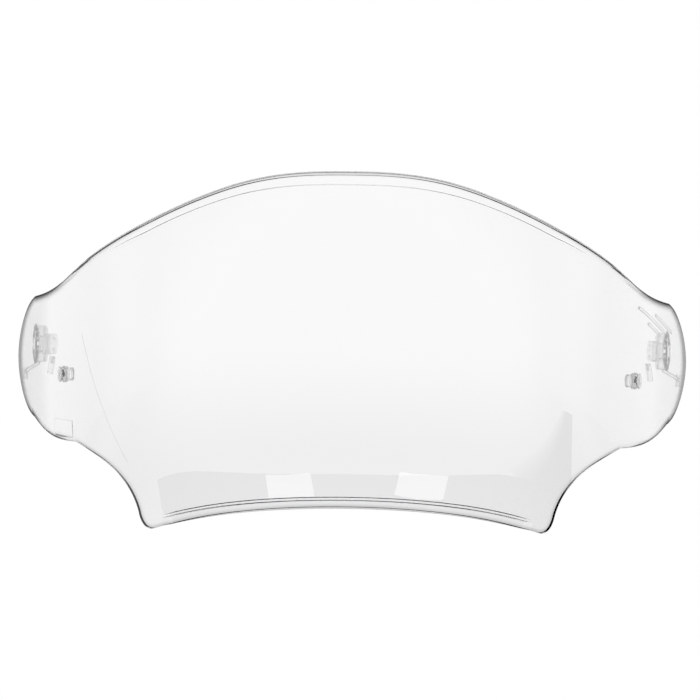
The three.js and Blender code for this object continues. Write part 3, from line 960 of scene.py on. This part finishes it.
    def socket(self, side: Side) -> Piece:
        """Makes the cutter for the round socket in the key and the boss.

        Args:
            side: The arm.

        Returns:
            The closed cutter, which starts clear of the key's end.
        """
        _, key_end = self.end_places()
        x = side.value * np.array([key_end - self.overrun, key_end + self.socket_depth])
        round_rings = circles(np.full(2, self.socket_radius), self.round_steps)
        return ring_solid("socket", axial_rings(x, *round_rings))

    def pin_hole(self, side: Side) -> Piece:
        """Makes the cutter for the hole that a lens pin goes through.

        Args:
            side: The arm.

        Returns:
            The closed cutter, which stands clear of the wall on both sides.
        """
        depths = np.array([-self.overrun, self.wall.thickness + self.overrun])
        seat = PinSeat.on(self.wall, side, self.pin_place, self.pin_level)
        radii = np.full(2, self.pin_hole_radius)
        return ring_solid("hole", seat.rings(radii, depths, np.zeros(2), self.round_steps))

    def arm_pieces(self, side: Side) -> list[Piece]:
        """Makes what both arms carry: boss, key, guide rib, stop tab and brace.

        The brace runs from ahead of the boss and below it to the stop tab.

        Args:
            side: The arm.

        Returns:
            The closed solids, in the order in which they are joined.
        """
        pivot = self.wall.pivot_place
        lean = self.guide_lean - math.pi / 2.0
        guide = (pivot - self.guide_ahead, self.guide_level, self.guide_length, lean)
        stop = (pivot + self.stop_back, self.stop_level, self.stop_height, math.pi / 2.0)
        run = np.array([self.stop_back + self.brace_ahead, self.stop_level + self.brace_drop])
        middle = np.array([pivot - self.brace_ahead, -self.brace_drop]) + run / 2.0
        brace = (*middle, np.linalg.norm(run), math.atan2(run[1], run[0]))
        return [
            self.boss(side),
            self.key(side),
            self.rib(side, self.straight_line(*guide), self.guide_section),
            self.rib(side, self.straight_line(*stop), self.stop_section),
            self.rib(side, self.straight_line(*brace), self.brace_section),
        ]

    def single_ribs(self) -> list[Piece]:
        """Makes what one arm carries: three grip ribs, the pad and the fine crease.

        The grip ribs lie parallel, each over its own span of their common length.

        Returns:
            The closed solids, in the order in which they are joined.
        """
        made = []
        fall = np.array([math.cos(self.grip_rib_tilt), -math.sin(self.grip_rib_tilt)])
        for number, (first, last) in enumerate(self.grip_rib_spans):
            level = self.grip_rib_level + (number - 1) * self.grip_rib_pitch
            middle = np.array([self.grip_rib_start, level])
            middle += fall * self.grip_rib_length * (first + last) / 2.0
            length = self.grip_rib_length * (last - first)
            line = self.straight_line(*middle, length, -self.grip_rib_tilt)
            made.append(self.rib(Side.RIGHT, line, self.grip_rib_section))
        pad = self.straight_line(self.pad_place, self.pad_level, self.pad_length, 0.0)
        made.append(self.rib(Side.LEFT, pad, self.pad_section))
        level = np.linspace(*self.crease_run, self.rib_steps * 2 + 1)
        crease = np.stack([self.crease_place + self.crease_lean * level, level], axis=-1)
        made.append(self.rib(Side.LEFT, crease, self.crease_section))
        return made

    def build(self) -> Piece:
        """Builds and dresses the whole moulding.

        Returns:
            The piece that stands for the CAD node visor_shell.
        """
        shell, rim = self.wall_piece()
        added, cut = [], []
        for side in Side:
            added += self.arm_pieces(side)
            cut += [self.socket(side), self.pin_hole(side)]
        added += self.single_ribs()
        combine(shell, added, Join.UNION)
        combine(shell, cut, Join.CUT)
        self.finish.dress(shell, self.sharp_angle)
        # paints shade along the rim into an attribute that darkens the colour
        self.mark_rim(shell, rim)
        return shell


@dataclass
class LensPinSet:
    """One arm's eccentric lens pin, its soft washer and its slotted screw."""

    side: Side
    moulding: VisorMoulding
    pin_finish: ClearPlastic
    washer_finish: ClearPlastic
    screw_finish: ClearPlastic
    clearance: float = 0.0003
    seat_gap: float = 0.0003
    washer_thickness: float = 0.0004
    washer_radius: float = 0.0031
    flange_radius: float = 0.0029
    flange_thickness: float = 0.0006
    neck_radius: float = 0.0017
    neck_length: float = 0.0009
    neck_offset: float = 0.0006
    head_radius: float = 0.0024
    head_thickness: float = 0.0012
    head_chamfer: float = 0.0003
    screw_head_radius: float = 0.0029
    screw_head_height: float = 0.0006
    screw_head_edge: float = 0.0003
    screw_shank_radius: float = 0.0008
    screw_shank_length: float = 0.0031
    screw_slot_width: float = 0.0009
    screw_slot_depth: float = 0.00035
    edge: float = 0.00015
    round_steps: int = 72
    dome_steps: int = 6
    sharp_angle: float = math.radians(40.0)

    @cached_property
    def seat(self) -> PinSeat:
        """Where this arm's pin stands."""
        moulding = self.moulding
        return PinSeat.on(moulding.wall, self.side, moulding.pin_place, moulding.pin_level)

    def turned(self, name: str, profile: list[Triple]) -> Piece:
        """Turns a profile round the seat's axis.

        Args:
            name: The object's name.
            profile: Radius, depth and rearward offset of each ring, from the first pole
                to the last. The poles have radius 0.

        Returns:
            The closed object.
        """
        radius, depth, offset = np.array(profile).T
        rings = self.seat.rings(radius[1:-1], depth[1:-1], offset[1:-1], self.round_steps)
        poles = self.seat.rings(radius[[0, -1]], depth[[0, -1]], offset[[0, -1]], 1)[:, 0]
        return ring_solid(name, rings, poles)

    def pin(self) -> Piece:
        """Makes the pin: bored shank and flange on the axis, neck and head off it.

        Returns:
            The closed pin, turned from the bottom of its bore to the end of its head.
        """
        wall = self.moulding.wall.thickness
        flange = wall + 2.0 * self.seat_gap + self.washer_thickness
        neck = flange + self.flange_thickness
        head = neck + self.neck_length
        end = head + self.head_thickness
        bore = self.screw_shank_radius + self.seat_gap
        bore_end = self.screw_shank_length + self.seat_gap
        shank = self.moulding.pin_hole_radius - self.clearance
        off, edge = self.neck_offset, self.edge
        profile = [
            (0.0, bore_end, 0.0),
            (bore, bore_end, 0.0),
            (bore, 0.0, 0.0),
            (shank - edge, 0.0, 0.0),
            (shank, edge, 0.0),
            (shank, flange, 0.0),
            (self.flange_radius - edge, flange, 0.0),
            (self.flange_radius, flange + edge, 0.0),
            (self.flange_radius, neck - edge, 0.0),
            (self.flange_radius - edge, neck, 0.0),
            (self.neck_radius + edge, neck, off),
            (self.neck_radius, neck + edge, off),
            (self.neck_radius, head, off),
            (self.head_radius - edge, head, off),
            (self.head_radius, head + edge, off),
            (self.head_radius, end - self.head_chamfer, off),
            (self.head_radius - self.head_chamfer, end, off),
            (0.0, end, off),
        ]
        return self.turned(f"{self.side.word}_lens_pin_clear", profile)

    def washer(self) -> Piece:
        """Makes the washer: a flat ring, whose section is an oblong with its corners off.

        Returns:
            The closed ring.
        """
        inner, outer = self.moulding.pin_hole_radius, self.washer_radius
        top = self.moulding.wall.thickness + self.seat_gap
        bottom = top + self.washer_thickness
        edge = self.edge / 2.0
        section = [
            (inner, top + edge),
            (inner, bottom - edge),
            (inner + edge, bottom),
            (outer - edge, bottom),
            (outer, bottom - edge),
            (outer, top + edge),
            (outer - edge, top),
            (inner + edge, top),
        ]
        radius, depth = np.array(section).T
        rings = self.seat.rings(radius, depth, np.zeros(len(radius)), self.round_steps)
        index = np.arange(len(radius) * self.round_steps).reshape(len(radius), -1)
        after, below = np.roll(index, -1, axis=1), np.roll(index, -1, axis=0)
        quads = np.stack([index, after, np.roll(after, -1, axis=0), below], axis=-1)
        name = f"{self.side.word}_pin_washer_soft"
        made = mesh_object(name, rings.reshape(-1, 3), [quads.reshape(-1, 4)])
        recalculate_outwards(made)
        return made

    def screw(self) -> Piece:
        """Makes the screw: a plain shank and a low domed head with a slot across it.

        Returns:
            The closed screw, turned from the shank's end to the top of an elliptic dome.
        """
        base = -self.seat_gap
        edge = base - self.screw_head_edge
        top = base - self.screw_head_height
        shank, length = self.screw_shank_radius, self.screw_shank_length
        sine, cosine = quarter_arc(self.dome_steps)
        dome = np.stack([self.screw_head_radius * cosine, edge - (edge - top) * sine], axis=-1)
        profile = [
            (0.0, length),
            (shank - self.edge, length),
            (shank, length - self.edge),
            (shank, base),
            (self.screw_head_radius - self.edge, base),
            (self.screw_head_radius, base - self.edge),
            *dome[:-1],
            (0.0, top),
        ]
        centred = [(radius, depth, 0.0) for radius, depth in profile]
        made = self.turned(f"{self.side.word}_pin_screw_clear", centred)
        combine(made, [self.slot_cutter(top)], Join.CUT)
        return made

    def slot_cutter(self, top: float) -> Piece:
        """Makes the bar that cuts the slot: rearwards along the head, at its top.

        Args:
            top: The depth of the head's top, which is negative outside the wall.

        Returns:
            The closed bar, as much above the top as below it.
        """
        seat = self.seat
        half = self.screw_head_radius + self.moulding.overrun
        width = self.screw_slot_width / 2.0
        corners = np.array([(-width, -1.0), (width, -1.0), (width, 1.0), (-width, 1.0)])
        depth = top + corners[:, 1:] * self.screw_slot_depth
        section = corners[:, :1] * seat.up - depth * seat.out
        rings = np.stack([seat.origin + back * seat.rear + section for back in (-half, half)])
        return ring_solid("slot", rings)

    def build(self) -> dict[str, Piece]:
        """Builds and dresses the three pieces.

        Returns:
            Each piece under the name of the CAD node that it stands for.
        """
        made = {
            f"{self.side.word}_lens_pin": (self.pin(), self.pin_finish),
            f"{self.side.word}_pin_washer": (self.washer(), self.washer_finish),
            f"{self.side.word}_pin_screw": (self.screw(), self.screw_finish),
        }
        for piece, finish in made.values():
            finish.dress(piece, self.sharp_angle)
        return {node: piece for node, (piece, _) in made.items()}


@dataclass(frozen=True)
class SoftLamp:
    """A soft rectangular lamp. The surround's white has a radiance of 1."""

    name: str
    place: Triple
    aim: Triple
    size: tuple[float, float]
    radiance: float
    mirrored: bool = False

    def hang(self) -> None:
        """Hangs the lamp, facing its aim. The plastic shows it only where it is mirrored."""
        data = bpy.data.lights.new(self.name, "AREA")
        data.shape = "RECTANGLE"
        data.size, data.size_y = self.size
        data.energy = self.radiance * math.pi * self.size[0] * self.size[1]
        made = bpy.data.objects.new(self.name, data)
        made.location = self.place
        towards = np.array(self.aim) - np.array(self.place)
        level = math.hypot(towards[0], towards[1])
        heading = math.atan2(-towards[0], towards[1])
        made.rotation_euler = (math.atan2(level, -towards[2]), 0.0, heading)
        made.visible_camera = False
        made.visible_transmission = False
        made.visible_glossy = self.mirrored
        bpy.context.scene.collection.objects.link(made)


@dataclass(frozen=True)
class DarkCard:
    """A dark card near the floor that only the plastic's outer faces mirror.

    Its corners are rows of X and Y. It thins out towards its first side over the width
    soft.
    """

    name: str
    corners: Array
    level: float
    soft: float

    def lay(self) -> None:
        """Lays the card, with an alpha that rises with the distance from its first side."""
        points = np.column_stack([self.corners, np.full(len(self.corners), self.level)])
        made = mesh_object(self.name, points, [np.arange(len(points))[None, :]])
        for flag in ("camera", "diffuse", "transmission", "volume_scatter", "shadow"):
            setattr(made, f"visible_{flag}", False)
        graph = NodeGraph(bpy.data.materials.new(self.name))
        across = leftwards(unit(self.corners[1] - self.corners[0]))
        start = float(self.corners[0] @ across)
        passed = graph.add("LightPath")["Transmission Depth"]
        outside = graph.ramp(passed, 0.0, 1.0, 1.0, 0.0, LINEAR)
        both = {0: graph.add("TexCoord")["Object"], 1: (*across, 0.0)}
        reach = graph.add("VectorMath", both, operation="DOT_PRODUCT")["Value"]
        graph.fill("Principled BSDF", {
            "Base Color": (0.0, 0.0, 0.0, 1.0),
            "Specular IOR Level": 0.0,
            "Alpha": graph.ramp(reach, start, start + self.soft, 0.0, outside, LINEAR),
        })
        made.data.materials.append(graph.owner)


@dataclass
class Studio:
    """A pale floor, a white surround, soft lamps, dark cards and the photograph's camera.

    The surround is white where it is seen straight or through the clear wall. A ray that
    has been reflected sees the dim half of a bright-field studio, so that the rims and
    the steep parts of the clear plastic read as grey lines, from any side.
    """

    floor_level: float = -0.2
    floor_radius: float = 1.6
    floor_steps: int = 96
    floor_fade: Span = (0.25, 0.5)
    floor_colour: float = 0.86
    floor_roughness: float = 0.9
    floor_specular: float = 0.1
    lamp_sky: float = 0.75
    reflected: Span = (3.05, 1.22)
    ahead_to_behind: Span = (-0.5, 0.55)
    dark_rise: Span = (0.87, 0.965)
    dark_share: float = 0.04
    reflected_low_share: float = 0.45
    low: float = -0.62
    high: float = 0.15
    inside_share: float = 0.12
    inside_behind_share: float = 0.85
    inside_from: float = -0.1
    inside_full: float = 0.4
    again_share: float = 0.7
    card_level: float = -0.199
    card_half_width: float = 0.395
    card_half_depth: float = 0.336
    card_power: float = 1.8
    card_back: float = -0.086
    card_slant: float = 0.073
    card_steps: int = 96
    card_soft: float = 0.001
    wedge: tuple[Corner, ...] = (
        (0.34, -0.194), (1.2, 0.0), (1.2, 0.133), (0.52, 0.0), (0.3, -0.06)
    )
    wedge_soft: float = 0.065
    camera_distance: float = 1.2
    camera_reach: float = 20.0
    camera_focal_pixels: float = 3138.7
    photo_pixels: float = 700.0
    centre_column: float = 351.06
    centre_row: float = 347.45
    camera_yaw: float = math.radians(0.587)
    camera_pitch: float = math.radians(0.709)
    camera_roll: float = math.radians(0.693)
    sensor_width: float = 36.0
    lamps: tuple[SoftLamp, ...] = (
        SoftLamp("key_lamp", place=(-0.9, -1.1, 1.2), aim=(0.0, -0.05, 0.0),
                 size=(0.7, 0.7), radiance=4.0),
        SoftLamp("fill_lamp", place=(1.1, -0.7, 0.8), aim=(0.0, -0.05, 0.0),
                 size=(0.7, 0.7), radiance=4.0),
    )
    windows: tuple[SoftLamp, ...] = (
        SoftLamp("left_window", place=(-0.073, -0.223, -0.142), aim=(-0.026, -0.111, -0.054),
                 size=(0.061, 0.028), radiance=2.3, mirrored=True),
        SoftLamp("right_window", place=(0.094, -0.214, -0.139), aim=(0.032, -0.104, -0.059),
                 size=(0.067, 0.028), radiance=2.3, mirrored=True),
    )

    def camera(self) -> None:
        """Sets the camera in front, about level with the pivots, a little turned and rolled."""
        data = bpy.data.cameras.new("camera")
        data.sensor_width = self.sensor_width
        data.lens = self.camera_focal_pixels / self.photo_pixels * self.sensor_width
        middle = self.photo_pixels / 2.0
        data.shift_x = (middle - self.centre_column) / self.photo_pixels
        data.shift_y = (self.centre_row - middle) / self.photo_pixels
        data.clip_end = self.camera_reach
        made = bpy.data.objects.new("camera", data)
        yaw, pitch, roll = self.camera_yaw, self.camera_pitch, self.camera_roll
        level = np.array([-math.sin(yaw), math.cos(yaw), 0.0])
        forward = level * math.cos(pitch) - np.array([0.0, 0.0, math.sin(pitch)])
        right = np.array([math.cos(yaw), math.sin(yaw), 0.0])
        up = np.cross(right, forward)
        turned = np.eye(4)
        turned[:3, 0] = right * math.cos(roll) + up * math.sin(roll)
        turned[:3, 1] = up * math.cos(roll) - right * math.sin(roll)
        turned[:3, 2] = -forward
        turned[:3, 3] = -self.camera_distance * forward
        made.matrix_world = Matrix(turned.tolist())
        bpy.context.scene.collection.objects.link(made)
        bpy.context.scene.camera = made

    def seen_level(self, graph: NodeGraph, direction: Socket) -> Socket:
        """Works out how bright the surround is for a ray.

        A ray that met no reflection sees 1. Any other sees it brightest ahead of the
        visor and dimmer behind and below, and again_share of that for every further
        reflection. Straight behind it is nearly dark for a ray that was never inside the
        plastic. One that was sees a share, which is small where it comes out forwards or
        downwards.

        Args:
            graph: Where the nodes go.
            direction: A vector along the ray.

        Returns:
            The brightness, where white is 1.
        """
        path = graph.add("LightPath")
        split = graph.add("SeparateXYZ", {"Vector": direction})
        turns, y, z = path["Glossy Depth"], split["Y"], split["Z"]
        inside = graph.math("MINIMUM", path["Transmission Depth"], 1.0)
        along = graph.ramp(y, *self.ahead_to_behind, *self.reflected)
        rise = graph.ramp(z, self.low, self.high, self.reflected_low_share)
        grazing = graph.ramp(y, *self.dark_rise, 1.0, self.dark_share)
        backwards = graph.ramp(y, self.inside_from, self.inside_full)
        level = graph.ramp(z, self.low, self.inside_from)
        again = graph.math("POWER", self.again_share, graph.math("SUBTRACT", turns, 1.0))
        more = self.inside_behind_share - self.inside_share
        lit = graph.math("MULTIPLY", graph.math("MULTIPLY", backwards, level), more)
        lit = graph.math("SUBTRACT", graph.math("ADD", lit, self.inside_share), 1.0)
        share = graph.math("MULTIPLY", again, graph.math("MULTIPLY_ADD", inside, lit, 1.0))
        around = graph.math("MULTIPLY", along, rise)
        around = graph.math("MULTIPLY", around, graph.math("MAXIMUM", grazing, inside))
        met = graph.math("MINIMUM", turns, 1.0)
        return graph.mix(met, 1.0, graph.math("MULTIPLY", around, share))

    def surround(self) -> None:
        """Sets the world: white to the eye and through the plastic, soft as a lamp."""
        graph = NodeGraph(bpy.data.worlds.new("surround"))
        path = graph.add("LightPath")
        seen = graph.math("MAXIMUM", path["Is Camera Ray"], path["Is Transmission Ray"])
        seen = graph.math("MAXIMUM", seen, path["Is Glossy Ray"])
        level = self.seen_level(graph, graph.add("TexCoord")["Generated"])
        strength = graph.mix(seen, self.lamp_sky, level)
        graph.fill("Background", {"Color": (1.0, 1.0, 1.0, 1.0), "Strength": strength})
        bpy.context.scene.world = graph.owner

    def floor(self) -> None:
        """Lays the pale floor: plain near the visor, and fading into the white surround."""
        x, y = circles(np.array([self.floor_radius]), self.floor_steps)
        points = np.column_stack([np.append(x, 0.0), np.append(y, 0.0), np.zeros(x.size + 1)])
        points[:, 2] = self.floor_level
        index = np.arange(x.size)
        fan = np.stack([index, np.roll(index, -1), np.full(x.size, x.size)], axis=-1)
        made = mesh_object("floor", points, [fan])
        made.visible_glossy = False
        graph = NodeGraph(bpy.data.materials.new("pale_floor"))
        place = graph.add("TexCoord")["Object"]
        reach = graph.add("VectorMath", {0: place}, operation="LENGTH")["Value"]
        glow = {"Strength": self.seen_level(graph, place)}
        graph.fill("Principled BSDF", {
            "Base Color": (*[self.floor_colour] * 3, 1.0),
            "Roughness": self.floor_roughness,
            "Specular IOR Level": self.floor_specular,
        })
        blend = {
            "Fac": graph.ramp(reach, *self.floor_fade),
            1: graph.owner.node_tree.nodes["Principled BSDF"].outputs["BSDF"],
            2: graph.add("Emission", glow)["Emission"],
        }
        graph.fill("Material Output", {"Surface": graph.add("MixShader", blend)["Shader"]})
        made.data.materials.append(graph.owner)

    def front_card(self) -> Array:
        """Shapes the card before the visor: half a superellipse with a straight back.

        Returns:
            X and Y of its corners. The last two are the ends of its back.
        """
        angle = np.linspace(math.pi, 2.0 * math.pi, self.card_steps)
        round_x, round_y = np.cos(angle), np.sin(angle)
        power = 2.0 / self.card_power
        x = self.card_half_width * np.sign(round_x) * np.abs(round_x) ** power
        y = -self.card_half_depth * np.abs(round_y) ** power
        kept = y < self.card_back + self.card_slant * x
        ends = x[kept][[-1, 0]]
        backs = np.stack([ends, self.card_back + self.card_slant * ends], axis=-1)
        return np.concatenate([np.stack([x[kept], y[kept]], axis=-1), backs])

    def build(self) -> None:
        """Sets up the camera, the surround, the floor, the lamps and the cards."""
        bpy.context.scene.view_settings.view_transform = "Standard"
        self.camera()
        self.surround()
        self.floor()
        for lamp in self.lamps:
            lamp.hang()
        DarkCard("dark_front", self.front_card(), self.card_level, self.card_soft).lay()
        DarkCard("dark_wedge", np.array(self.wedge), self.card_level, self.wedge_soft).lay()
        for window in self.windows:
            window.hang()


POLYCARBONATE = ClearPlastic(
    name="clear_polycarbonate",
    tint=(0.857, 0.86, 0.862),
    # painted shade: at the rim the colour falls to a tenth of the tint
    rim_tint=0.1,
    ior=1.585,
    roughness=(0.0, 0.006),
    haze_scale=60.0,
    wave_scale=30.0,
    wave_height=0.00001,
)
PIN_PLASTIC = ClearPlastic(
    name="clear_pin_plastic",
    tint=(0.95, 0.955, 0.96),
    ior=1.49,
    roughness=(0.02, 0.07),
    haze_scale=500.0,
    wave_scale=300.0,
    wave_height=0.000003,
)
SCREW_NYLON = ClearPlastic(
    name="milky_nylon",
    tint=(0.9, 0.9, 0.895),
    clearness=0.55,
    ior=1.5,
    roughness=(0.12, 0.3),
    haze_scale=700.0,
    wave_scale=500.0,
    wave_height=0.000006,
)
SILICONE = ClearPlastic(
    name="soft_silicone",
    tint=(0.9, 0.9, 0.9),
    ior=1.41,
    roughness=(0.35, 0.55),
    haze_scale=900.0,
    wave_scale=600.0,
    wave_height=0.00002,
)


def main() -> None:
    """Builds the studio, the moulding and the two pin sets, and hangs each on its body."""
    logging.basicConfig(level=logging.INFO, format="%(name)s: %(message)s")
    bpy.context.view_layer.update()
    Studio().build()
    moulding = VisorMoulding(POLYCARBONATE)
    pieces = {"visor_shell": moulding.build()}
    for side in Side:
        pieces |= LensPinSet(side, moulding, PIN_PLASTIC, SILICONE, SCREW_NYLON).build()
    record = frame["record"]
    bodies = {node: name for name, nodes in record["behaviour"]["bodies"].items() for node in nodes}
    for node, piece in pieces.items():
        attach(piece, bodies[node])
        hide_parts(node)
        LOG.info("%s: %d faces, rides on %s", piece.name, len(piece.data.polygons), bodies[node])


if __name__ == "__main__":
    main()
